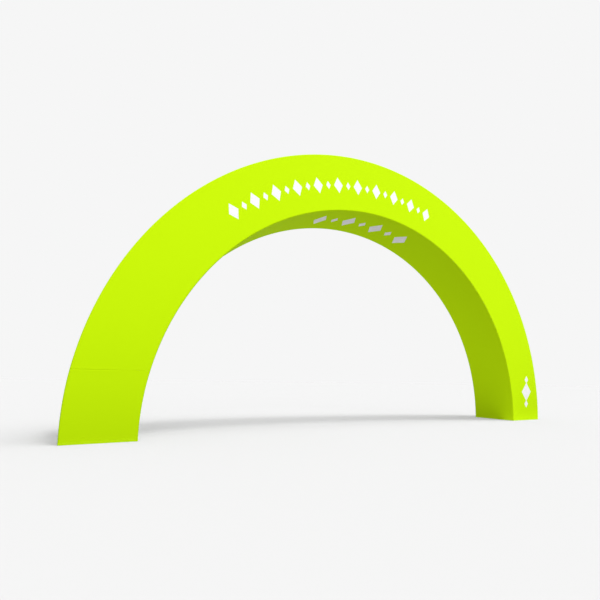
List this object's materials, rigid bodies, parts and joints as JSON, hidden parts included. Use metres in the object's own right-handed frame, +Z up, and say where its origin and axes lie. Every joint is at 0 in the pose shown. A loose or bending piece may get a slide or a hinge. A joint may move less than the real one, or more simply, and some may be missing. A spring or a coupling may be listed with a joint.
{
  "type": "advertising arch with its tube frame",
  "caption": "Half-round walk-through advertising arch: a stretched textile cover of box section over a plain bent-tube frame, standing on two flat feet.",
  "frame": {"origin": "on the floor, midway between the two feet and between the front and back faces", "axes": "+X along the arch from the foot with the level panel seam to the other foot, front face towards -Y, +Z up"},
  "size_m": [5.9964, 0.63, 2.93],
  "materials": {
    "cover_cloth": "matt stretch polyester, lime",
    "frame_tube": "plain mill finish",
    "foot_plate": "grey powder coat on steel"
  },
  "bodies": {
    "root": {"front_panel": "cover_cloth", "front_foot_panel": "cover_cloth", "back_panel": "cover_cloth", "outer_band": "cover_cloth", "soffit_band": "cover_cloth", "front_outer_hoop": "frame_tube", "front_inner_hoop": "frame_tube", "back_outer_hoop": "frame_tube", "back_inner_hoop": "frame_tube", "spacer_frame_1": "frame_tube", "spacer_frame_2": "frame_tube", "spacer_frame_3": "frame_tube", "spacer_frame_4": "frame_tube", "spacer_frame_5": "frame_tube", "spacer_frame_6": "frame_tube", "spacer_frame_7": "frame_tube", "spacer_frame_8": "frame_tube", "spacer_frame_9": "frame_tube", "foot_plate_minus_x": "foot_plate", "foot_plate_plus_x": "foot_plate"}
  },
  "joints": []
}
